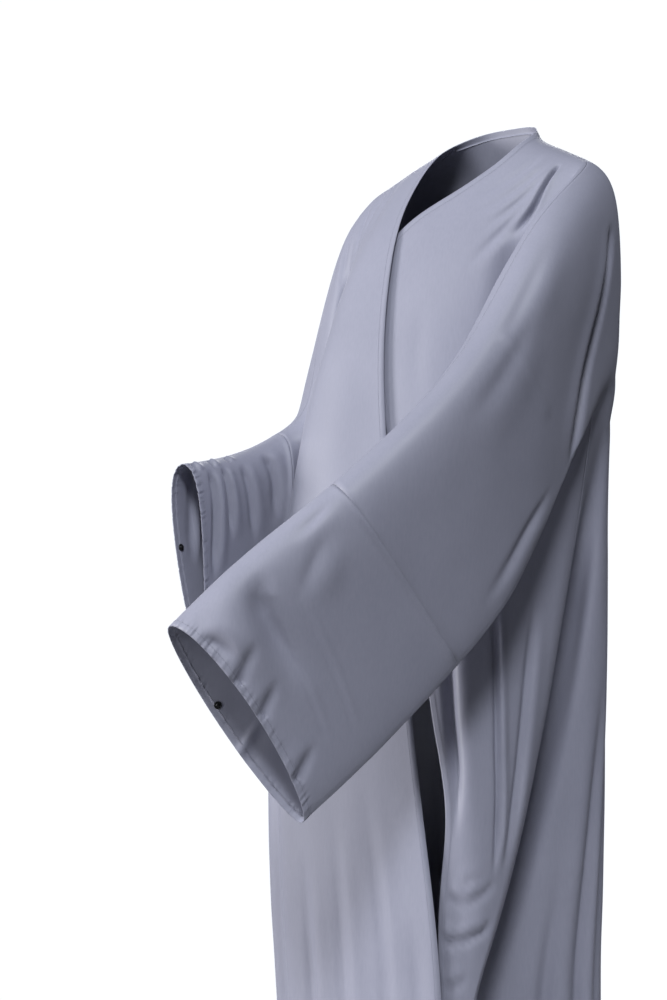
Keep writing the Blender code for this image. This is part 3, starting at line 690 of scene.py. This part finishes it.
def smooth_path(places):
    """A smooth run of places through a few given ones."""
    places = np.asarray(places, dtype=float)
    ends = np.vstack((2 * places[0] - places[1], places, 2 * places[-1] - places[-2]))
    made = []
    spans = len(places) - 1
    for share in np.linspace(0, spans, PATH_POINTS):
        n = min(int(share), spans - 1)
        t = share - n
        a, b, c, d = ends[n:n + 4]
        squared, cubed = 2 * a - 5 * b + 4 * c - d, 3 * b - a - 3 * c + d
        made.append(0.5 * (2 * b + (c - a) * t + squared * t ** 2 + cubed * t ** 3))
    return np.array(made)


def along_path(points):
    """Shares of a path's length at its points, and the length."""
    steps = np.linalg.norm(np.diff(points, axis=0), axis=1)
    run = np.concatenate(([0.0], np.cumsum(steps)))
    return run / max(run[-1], TINY), run[-1]


def evenly(points, step):
    """Points at even steps along a run of points."""
    shares, length = along_path(points)
    wanted = np.linspace(0, 1, max(int(round(length / step)), 1) + 1)
    return np.stack([np.interp(wanted, shares, points[:, n]) for n in range(3)], axis=1)


def unit(vectors):
    """The same ways at length 1."""
    return vectors / np.maximum(np.linalg.norm(vectors, axis=1), TINY)[:, None]


def bell(value):
    """1 at 0, falling smoothly to 0 on both sides."""
    return np.exp(-value ** 2)


def ease(value):
    """A smooth rise from 0 to 1."""
    value = np.clip(value, 0.0, 1.0)
    return value * value * (3 - 2 * value)


def fold_moves(fold, points, normals, table, steps):
    """How far each point moves along its normal for one fold, by its distance to the fold's line."""
    line, line_normals = on_sheet(table, steps, smooth_path(fold.path))
    reach = FOLD_REACH * max(fold.start_width, fold.end_width)
    low, high = line.min(axis=0) - reach, line.max(axis=0) + reach
    near = np.flatnonzero(np.all((points > low) & (points < high), axis=1))
    moves = np.zeros(len(points))
    if not len(near):
        return moves
    spots, ways = points[near], normals[near]
    shares, _ = along_path(line)
    best = np.full(len(near), np.inf)
    side, share, facing = np.zeros((3, len(near)))
    for n in range(len(line) - 1):
        start, step = line[n], line[n + 1] - line[n]
        length = np.linalg.norm(step)
        t = np.clip((spots - start) @ step / length ** 2, 0, 1)
        offset = spots - start - t[:, None] * step
        far = np.linalg.norm(offset, axis=1)
        closer = far < best
        best[closer] = far[closer]
        across = np.cross(line_normals[n], step / length)
        side[closer] = np.sign(offset[closer] @ across)
        share[closer] = shares[n] + t[closer] * (shares[n + 1] - shares[n])
        facing[closer] = ways[closer] @ line_normals[n]
    width = fold.start_width + (fold.end_width - fold.start_width) * share
    x = side * best / width
    shift = FOLD_SHIFT if fold.rise and fold.dip else 0.0
    height = fold.rise * bell(x - shift) - fold.dip * bell((x + shift) * (1 + shift))
    fade = ease(share / max(fold.fade_in, LEAST_FADE))
    fade *= ease((1 - share) / max(fold.fade_out, LEAST_FADE))
    moves[near] = height * fade * ease(facing / FACING_ENOUGH)
    return moves


def edge_table(faces, panel):
    """Every edge of the faces once: its ends, how many faces share it, and the panels of the first
    and the last of them."""
    pairs = np.concatenate([faces[:, [n, (n + 1) % 4]] for n in range(4)])
    owners = np.tile(panel, 4)
    ordered = np.sort(pairs, axis=1)
    keys = ordered[:, 0].astype(np.int64) * (faces.max() + 1) + ordered[:, 1]
    order = np.argsort(keys, kind="stable")
    keys, ordered, owners = keys[order], ordered[order], owners[order]
    first = np.flatnonzero(np.concatenate(([True], keys[1:] != keys[:-1])))
    count = np.diff(np.concatenate((first, [len(keys)])))
    return ordered[first], count, owners[first], owners[first + count - 1]


def joined_runs(edges):
    """Runs of points along edges that meet end to end, each a list of point numbers."""
    beside, left = {}, set()
    for a, b in edges.tolist():
        beside.setdefault(a, []).append(b)
        beside.setdefault(b, []).append(a)
        left.add(frozenset((a, b)))
    starts = sorted(n for n, others in beside.items() if len(others) != 2) + sorted(beside)
    runs = []
    for start in starts:
        for following in sorted(beside[start]):
            run, nexts = [start], [following]
            while nexts and frozenset((run[-1], nexts[0])) in left:
                left.discard(frozenset((run[-1], nexts[0])))
                at = nexts[0]
                run.append(at)
                goes_on = len(beside[at]) == 2 and at != start
                nexts = [n for n in beside[at] if frozenset((at, n)) in left] if goes_on else []
            if len(run) > 1:
                runs.append(run)
    return runs


def distances(points, lines, limit):
    """Each point's distance to the nearest of some lines, up to a limit."""
    if not lines:
        return np.full(len(points), limit)
    spots = np.concatenate([evenly(line, EDGE_STEP) for line in lines])
    tree = KDTree(len(spots))
    for n, spot in enumerate(spots):
        tree.insert(spot, n)
    tree.balance()
    return np.array([min(tree.find(point)[2], limit) for point in points])


def sum_at_corners(faces, values, count):
    """For each of count points, the sum of the values of the faces around it."""
    total = np.zeros((count, values.shape[1]))
    for n in range(4):
        np.add.at(total, faces[:, n], values)
    return total


def panel_arrays(cloth, name):
    """One panel's own points, normals, faces and edges, drawn back a little from its seams."""
    tag = PANELS.index(name)
    own = cloth["panel"] == tag
    ends, count, one, other = cloth["edges"]
    seam = (one != other) & ((one == tag) | (other == tag))
    free = (count == 1) & (one == tag)
    used, numbers = np.unique(cloth["faces"][own], return_inverse=True)
    local = np.full(len(cloth["points"]), -1)
    local[used] = np.arange(len(used))
    points = cloth["points"][used].copy()
    normals = cloth["normals"][used]
    faces = numbers.reshape(-1, 4)
    free_lines = [points[run] for run in joined_runs(local[ends[free]])]
    seam_lines = [points[run] for run in joined_runs(local[ends[seam]])]
    to_free = distances(points, free_lines, HEM_WIDTH * 2)
    to_seam = distances(points, seam_lines, SEAM_REACH * 2)
    on_seam = np.unique(local[ends[seam]])
    pull = sum_at_corners(faces, points[faces].mean(axis=1), len(points))[on_seam]
    hits = sum_at_corners(faces, np.ones((len(faces), 1)), len(points))[on_seam]
    inward = pull / hits - points[on_seam]
    inward -= normals[on_seam] * (inward * normals[on_seam]).sum(axis=1)[:, None]
    points += normals * (HEM_RISE * ease((HEM_WIDTH - to_free) / HEM_FADE))[:, None]
    points += normals * (SEAM_RIDGE * bell((to_seam - SEAM_REACH / 2) / (SEAM_REACH / 2)))[:, None]
    points[on_seam] += unit(inward) * SEAM_GAP / 2 - normals[on_seam] * SEAM_DIP
    return {
        "points": points.tolist(), "faces": faces.tolist(), "places": cloth["places"][own],
        "to_free": to_free, "to_seam": to_seam, "free_lines": free_lines,
    }


def mesh_piece(name, store, surface, smooth=True):
    """A piece from stored points and faces."""
    mesh = bpy.data.meshes.new(name)
    mesh.from_pydata([tuple(point) for point in store["points"]], [], store["faces"])
    mesh.materials.append(surface)
    if smooth:
        mesh.shade_smooth()
    return placed(name, mesh)


def cloth_piece(name, panel, surface):
    """A panel's mesh: a thin shell that knows how far each point is from its hems and seams."""
    piece = mesh_piece(name, panel, surface)
    mesh = piece.data
    for label in ("to_free", "to_seam"):
        layer = mesh.attributes.new(label, "FLOAT", "POINT")
        layer.data.foreach_set("value", panel[label].astype(np.float32))
    layer = mesh.uv_layers.new(name="place")
    layer.data.foreach_set("uv", panel["places"].reshape(-1).astype(np.float32))
    if name == THINNED_PIECE:
        inner = piece.vertex_groups.new(name="inner")
        clear = np.minimum(panel["to_free"] - HEM_WIDTH, panel["to_seam"] - SEAM_REACH) > THINNED_FROM
        inner.add(np.flatnonzero(clear).tolist(), 1.0, "REPLACE")
        thinning = piece.modifiers.new("thinning", "DECIMATE")
        thinning.ratio = THINNED_TO
        thinning.vertex_group = "inner"
    wall = piece.modifiers.new("wall", "SOLIDIFY")
    wall.thickness = SHELL
    wall.offset = -1
    return piece


def panels_of(side, kind):
    """The panels that a sheet's folds move."""
    body = "front_" + side if kind.endswith("front") else "back"
    return (body, "sleeve_extension_" + side) if kind.startswith("sleeve") else (body,)


def on_panels(cloth, names):
    """Whether each point is a corner of a face of these panels."""
    touched = np.zeros(len(cloth["points"]), dtype=bool)
    faces = np.isin(cloth["panel"], [PANELS.index(name) for name in names])
    touched[cloth["faces"][faces]] = True
    return touched


def calm_at_snaps(points):
    """0 on the snaps, so that they keep their seat, rising to 1 away from them."""
    calm = np.ones(len(points))
    for side in SIDES:
        low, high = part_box("snap_" + side)
        middle = (np.array(low) + np.array(high)) / 2
        far = np.linalg.norm(points - middle, axis=1)
        calm *= ease((far - CALM_NEAR) / (CALM_FAR - CALM_NEAR))
    return calm


def calm_at_armholes(points, tables, steps):
    """0 along the front of each armhole, where the cloth turns sharply, rising to 1 away from it."""
    path = smooth_path(((0.0, LAST_COLUMN), (APEX_ROW, LAST_COLUMN)))
    lines = [on_sheet(tables[sheet_number(side, "front")], steps, path)[0] for side in SIDES]
    return ease(distances(points, lines, ARMHOLE_CALM) / ARMHOLE_CALM)


def slack(points):
    """Small uneven slack all over the cloth."""
    single = points.astype(np.float32).astype(float)
    moves = np.zeros(len(points))
    for height, waves, start in SLACKS:
        moves += [height * noise.noise(Vector(spot)) for spot in single * waves + start]
    return moves


def fresh_normals(points, faces):
    """Point normals worked out again after the points have moved."""
    a, b, c, d = (points[faces[:, n]] for n in range(4))
    return unit(sum_at_corners(faces, np.cross(c - a, d - b), len(points)))


def own_share(cloth, side, kind):
    """How much of a sheet's folds each point takes: all on the sheet itself and on its like,
    and less and less on the next sheet round the armhole."""
    share = np.zeros(len(cloth["points"]))
    half = kind.replace("sleeve_", "")
    for number in range(len(SIDES) * len(SHEETS)):
        faces = cloth["sheet"] == number
        corners = cloth["faces"][faces].reshape(-1)
        rows, columns = cloth["places"][faces].reshape(-1, 2).T
        other = SHEETS[number % len(SHEETS)]
        value = np.ones(len(corners))
        if kind.startswith("sleeve") and number == sheet_number(side, half):
            beside = LAST_COLUMN - columns if half == "front" else columns
            value = ease(1 - beside) * ease(APEX_ROW + 1 - rows)
        elif not kind.startswith("sleeve") and other.startswith("sleeve"):
            value = ease(1 - columns)
        share[corners] = np.maximum(share[corners], value)
    return share


def folded_cloth(level, wanted):
    """The smoothed cloth at a level, with the folds and slack of the wanted panels."""
    cloth = smooth_cloth(level)
    tables = sheet_tables(cloth)
    cloth["edges"] = edge_table(cloth["faces"], cloth["panel"])
    chosen = np.flatnonzero(on_panels(cloth, wanted))
    points, normals = cloth["points"][chosen], cloth["normals"][chosen]
    moves = np.zeros(len(chosen))
    for (side, kind), folds in FOLDS.items():
        mask = on_panels(cloth, panels_of(side, kind))[chosen]
        if not mask.any():
            continue
        table = tables[sheet_number(side, kind)]
        share = own_share(cloth, side, kind)[chosen][mask]
        for fold in folds:
            moves[mask] += fold_moves(fold, points[mask], normals[mask], table, cloth["steps"]) * share
    calm = calm_at_snaps(points) * calm_at_armholes(points, tables, cloth["steps"])
    moves = (moves + slack(points)) * calm
    cloth["points"][chosen] = points + normals * moves[:, None]
    cloth["normals"] = fresh_normals(cloth["points"], cloth["faces"])
    cloth["tables"] = sheet_tables(cloth)
    return cloth


def misfit(tree, spots):
    """How far spots lie from the cloth, added up."""
    return sum(tree.find_nearest(Vector(spot))[3] for spot in spots)


def line_inside(tree, line, inside, step):
    """Points at a distance inside an edge line, with the cloth's normals, the ways along the line
    and the ways from the edge into the panel."""
    spots = evenly(line, step)
    ways = unit(np.gradient(spots, axis=0))
    normals = np.array([tree.find_nearest(Vector(spot))[1] for spot in spots])
    across = unit(np.cross(normals, ways))
    every = max(len(spots) // TRIES, 1)
    tries, reach = spots[::every], across[::every] * TRY_INSIDE
    if misfit(tree, tries - reach) < misfit(tree, tries + reach):
        across = -across
    found = [tree.find_nearest(Vector(spot))[:2] for spot in spots + across * inside]
    places, facing = np.array(found).transpose(1, 0, 2)
    return places, facing, ways, across


def add_stitches(store, places, normals, ways, across, lift):
    """A thread stitch at each place: a long grain laid along the line."""
    for place, normal, way, side in zip(places, normals, ways, across):
        middle = place + normal * lift
        first = len(store["points"])
        store["points"] += [
            middle - way * STITCH_LENGTH / 2, middle + way * STITCH_LENGTH / 2,
            middle + side * STITCH_HALF, middle + normal * STITCH_HALF,
            middle - side * STITCH_HALF, middle - normal * STITCH_HALF,
        ]
        for n in range(4):
            a, b = first + 2 + n, first + 2 + (n + 1) % 4
            store["faces"] += [(first, a, b), (first + 1, b, a)]


def under_seam_lines(name, cloth):
    """The lines of stitches beside the under-seams, on the panel of that name."""
    lines = []
    for side in SIDES:
        for kind in ("sleeve_front", "sleeve_back"):
            body, extension = panels_of(side, kind)
            if name not in (body, extension):
                continue
            run = UNDER_SEAM_RUNS["extension" if name == extension else "body"]
            table = cloth["tables"][sheet_number(side, kind)]
            for row in UNDER_SEAM_ROWS:
                path = smooth_path([(row, station) for station in run])
                lines.append(on_sheet(table, cloth["steps"], path)[0])
    return lines


def add_rows(store, rows, closed=False):
    """Rows of points joined by faces, open at their ends or closed into rings."""
    first, count = len(store["points"]), len(rows[0])
    store["points"] += [point for row in rows for point in row]
    for start in range(first, first + (len(rows) - 1) * count, count):
        for n in range(count if closed else count - 1):
            a, b = start + n, start + (n + 1) % count
            store["faces"].append((a, b, b + count, a + count))


def hem_band(store, tree, line):
    """The turned-up strip behind an edge: it lies on the inner face, and its own edge shows there."""
    rows = []
    for inside in HEM_COLUMNS:
        places, normals, _, _ = line_inside(tree, line, inside, HEM_STEP)
        rows.append(places - normals * (SHELL + HEM_GAP))
    rows.append(rows[-1] - normals * HEM_FOLD)
    add_rows(store, rows)


def snap_piece(name, node, surface):
    """A snap half: a round base, a raised rim and a domed stud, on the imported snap's place."""
    corners = np.array([vert.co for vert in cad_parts[node].data.vertices])
    middle = corners.mean(axis=0)
    up = Vector(np.linalg.svd(corners - middle)[2][2])
    if up.dot(Vector(SNAP_INNER[node])) < 0:
        up.negate()
    heights = (corners - middle) @ np.array(up)
    foot = Vector(middle) + up * heights.min()
    tall = heights.max() - heights.min()
    aside = up.orthogonal().normalized()
    turns = [Matrix.Rotation(2 * math.pi * n / SNAP_SIDES, 3, up) for n in range(SNAP_SIDES)]
    rings = []
    for radius, height in SNAP_PROFILE:
        rings.append([foot + turn @ aside * radius + up * tall * height for turn in turns])
    store = {"points": [], "faces": []}
    add_rows(store, rings, closed=True)
    numbers = range(len(store["points"]))
    store["faces"] += [numbers[:SNAP_SIDES][::-1], numbers[-SNAP_SIDES:]]
    return mesh_piece(name, store, surface)


def nodes_of(name):
    """A new material, its node tree and its shader."""
    made = bpy.data.materials.new(name)
    made.use_nodes = True
    return made, made.node_tree, made.node_tree.nodes["Principled BSDF"]


def fill(tree, node, inputs):
    """Gives each named input of a node its fixed value, or links a socket to it."""
    for label, value in inputs.items():
        if isinstance(value, bpy.types.NodeSocket):
            tree.links.new(value, node.inputs[label])
        else:
            node.inputs[label].default_value = value


def add_node(tree, kind, inputs, **settings):
    """A new node with its settings and inputs."""
    node = tree.nodes.new(kind)
    for label, value in settings.items():
        setattr(node, label, value)
    fill(tree, node, inputs)
    return node


def metres(tree):
    """The object's own coordinates."""
    return add_node(tree, "ShaderNodeTexCoord", {}).outputs["Object"]


def stored(tree, label):
    """A value that the mesh holds for each point."""
    return add_node(tree, "ShaderNodeAttribute", {}, attribute_name=label).outputs["Fac"]


def grain(tree, coordinates, scale, detail, stretch=(1.0, 1.0, 1.0)):
    """Noise in the object's own metres."""
    place = add_node(tree, "ShaderNodeMapping", {"Scale": stretch, "Vector": coordinates})
    inputs = {"Scale": scale, "Detail": detail, "Vector": place.outputs["Vector"]}
    return add_node(tree, "ShaderNodeTexNoise", inputs).outputs["Fac"]


def ramp(tree, value, low, high, start, end):
    """A value's range from low to high turned into one from start to end."""
    inputs = {"From Min": low, "From Max": high, "To Min": start, "To Max": end, "Value": value}
    return add_node(tree, "ShaderNodeMapRange", inputs).outputs["Result"]


def combine(tree, operation, first, second):
    """Two values, fixed or from sockets, put together by an operation."""
    return add_node(tree, "ShaderNodeMath", {0: first, 1: second}, operation=operation).outputs["Value"]


def shared(tree, values, shares):
    """The sum of two values, each times its share."""
    parts = [combine(tree, "MULTIPLY", *part) for part in zip(values, shares)]
    return combine(tree, "ADD", *parts)


def tinted(tree, colours, share):
    """A colour between two, by a share."""
    inputs = {"A": colours[0], "B": colours[1], "Factor": share}
    return add_node(tree, "ShaderNodeMix", inputs, data_type="RGBA").outputs["Result"]


def line_at(tree, distance, place, width):
    """1 on a line at a distance from an edge, falling to 0 on both sides of it."""
    off = combine(tree, "ABSOLUTE", combine(tree, "SUBTRACT", distance, place), 0.0)
    return ramp(tree, off, 0.0, width, 1.0, 0.0)


def crepe():
    """Lavender grey crepe with a satin bloom, a fine pebbled grain and lines pressed at the hems."""
    made, tree, shader = nodes_of("crepe")
    own = metres(tree)
    to_free, to_seam = stored(tree, "to_free"), stored(tree, "to_seam")
    cloudy = grain(tree, own, CLOUD_GRAIN, 2.0)
    pebble = grain(tree, own, PEBBLE_GRAIN, 2.0)
    threads = grain(tree, own, THREAD_GRAIN, 1.0, THREAD_STRETCH)
    shade = shared(tree, (cloudy, threads), SHADE_SHARES)
    stitched = line_at(tree, to_free, HEM_WIDTH - HEM_LINE_INSIDE, HEM_LINE_HALF)
    pressed = line_at(tree, to_seam, 0.0, SEAM_LINE_HALF)
    dips = shared(tree, (stitched, pressed), LINE_HEIGHTS)
    relief = shared(tree, (pebble, threads), GRAIN_HEIGHTS)
    height = combine(tree, "ADD", dips, relief)
    bump = add_node(tree, "ShaderNodeBump", {"Distance": 0.001, "Strength": 0.6, "Height": height})
    fill(tree, shader, {
        "Base Color": tinted(tree, CREPE_COLOURS, ramp(tree, shade, *MOST_NOISE, 0.0, 1.0)),
        "Roughness": ramp(tree, threads, *MOST_NOISE, *CREPE_ROUGH),
        "Normal": bump.outputs["Normal"],
        "Specular IOR Level": 0.35,
        "Sheen Weight": 0.10,
        "Sheen Roughness": 0.45,
        "Sheen Tint": (0.80, 0.82, 1.0, 1.0),
    })
    return made


def thread():
    """Sewing thread a shade darker than the cloth."""
    made, tree, shader = nodes_of("thread")
    speckle = grain(tree, metres(tree), SPECKLE_GRAIN, 1.0)
    fill(tree, shader, {"Base Color": tinted(tree, THREAD_COLOURS, speckle), "Roughness": 0.6})
    return made


def snap_black():
    """Black painted metal, worn a little unevenly."""
    made, tree, shader = nodes_of("snap_black")
    wear = ramp(tree, grain(tree, metres(tree), WEAR_GRAIN, 2.0), *MOST_NOISE, *SNAP_ROUGH)
    fill(tree, shader, {"Roughness": wear, "Base Color": SNAP_COLOUR, "Metallic": 0.4})
    return made


def toward(tree, ways, aim):
    """How far a way points towards an aim, from -1 to 1."""
    node = add_node(tree, "ShaderNodeVectorMath", {0: ways, 1: aim}, operation="DOT_PRODUCT")
    return node.outputs["Value"]


def add_floor():
    """A pale round floor."""
    bm = bmesh.new()
    bmesh.ops.create_circle(bm, cap_ends=True, radius=FLOOR_RADIUS, segments=FLOOR_SIDES)
    mesh = bpy.data.meshes.new("floor")
    bm.to_mesh(mesh)
    bm.free()
    floor = placed("floor", mesh)
    floor.location.z = FLOOR_HEIGHT
    pale, tree, shader = nodes_of("pale_floor")
    fill(tree, shader, {"Base Color": FLOOR_COLOUR, "Roughness": 0.8})
    mesh.materials.append(pale)


def add_sky():
    """A soft sky with a darker side and a white backdrop."""
    world = bpy.data.worlds.new("studio")
    bpy.context.scene.world = world
    world.use_nodes = True
    tree = world.node_tree
    ways = add_node(tree, "ShaderNodeTexCoord", {}).outputs["Generated"]
    sky = ramp(tree, toward(tree, ways, DARK_SIDE), DARK_FROM, DARK_TO, SKY_BRIGHT, SKY_DARK)
    backdrop = toward(tree, ways, BACKDROP_WAY)
    backdrop = ramp(tree, backdrop, BACKDROP_FROM, BACKDROP_TO, 0.0, BACKDROP_STRENGTH)
    strength = combine(tree, "MAXIMUM", sky, backdrop)
    fill(tree, tree.nodes["Background"], {"Strength": strength, "Color": SKY_COLOUR})


def add_lamps():
    """Square area lamps that look at the garment."""
    for name, place, size, power, colour in LAMPS:
        lamp = bpy.data.lights.new(name, "AREA")
        lamp.shape = "RECTANGLE"
        lamp.size = lamp.size_y = size
        lamp.energy = power
        lamp.color = colour
        item = placed(name, lamp)
        item.location = place
        item.rotation_mode = "QUATERNION"
        item.rotation_quaternion = (LAMP_AIM - Vector(place)).to_track_quat("-Z", "Y")


def add_camera():
    """The photograph's view, level, with a square sensor for its height."""
    right = Vector((math.cos(VIEW_TURN), math.sin(VIEW_TURN), 0.0))
    ahead = Vector((-math.sin(VIEW_TURN), math.cos(VIEW_TURN), 0.0))
    lens = bpy.data.cameras.new("camera")
    lens.sensor_fit = "VERTICAL"
    lens.sensor_width = SENSOR
    lens.sensor_height = SENSOR
    lens.lens = SENSOR * FOCAL_PIXELS / IMAGE_HEIGHT
    camera = placed("camera", lens)
    eye = Vector((0, 0, EYE_HEIGHT)) - ahead * VIEW_DISTANCE - right * VIEW_ASIDE
    turn = Matrix((right, (0.0, 0.0, 1.0), -ahead)).transposed()
    camera.matrix_world = Matrix.Translation(eye) @ turn.to_4x4()
    bpy.context.scene.camera = camera


def dress(name, cloth, surfaces):
    """One panel's cloth, hem bands and stitches."""
    panel = panel_arrays(cloth, name)
    tree = BVHTree.FromPolygons(panel["points"], panel["faces"])
    piece = cloth_piece(name + "_cloth", panel, surfaces["crepe"])
    bands, seams = {"points": [], "faces": []}, {"points": [], "faces": []}
    for line in panel["free_lines"]:
        hem_band(bands, tree, line)
        spots = line_inside(tree, line, STITCH_INSIDE, STITCH_STEP)
        add_stitches(seams, *spots, STITCH_HALF / 2)
        if name in CUFF_PANELS:
            add_stitches(seams, *spots, -SHELL - HEM_GAP - HEM_FOLD - STITCH_HALF / 2)
    for line in under_seam_lines(name, cloth):
        add_stitches(seams, *line_inside(tree, line, 0.0, STITCH_STEP), STITCH_HALF / 2)
    parts = [
        mesh_piece(name + "_hem", bands, surfaces["crepe"]),
        mesh_piece(name + "_stitches", seams, surfaces["thread"], smooth=False),
    ]
    for item in [piece, *parts]:
        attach(item, "root")
    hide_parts(name)


def main():
    surfaces = {"crepe": crepe(), "thread": thread()}
    black = snap_black()
    for level, names in ((FINE_LEVEL, BODY_PANELS), (CUFF_LEVEL, CUFF_PANELS)):
        cloth = folded_cloth(level, names)
        for name in names:
            dress(name, cloth, surfaces)
    for side in SIDES:
        snap = snap_piece("snap_" + side + "_stud", "snap_" + side, black)
        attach(snap, "root")
        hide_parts("snap_" + side)
    add_floor()
    add_sky()
    add_lamps()
    add_camera()
    bpy.context.scene.view_settings.view_transform = "Standard"


main()
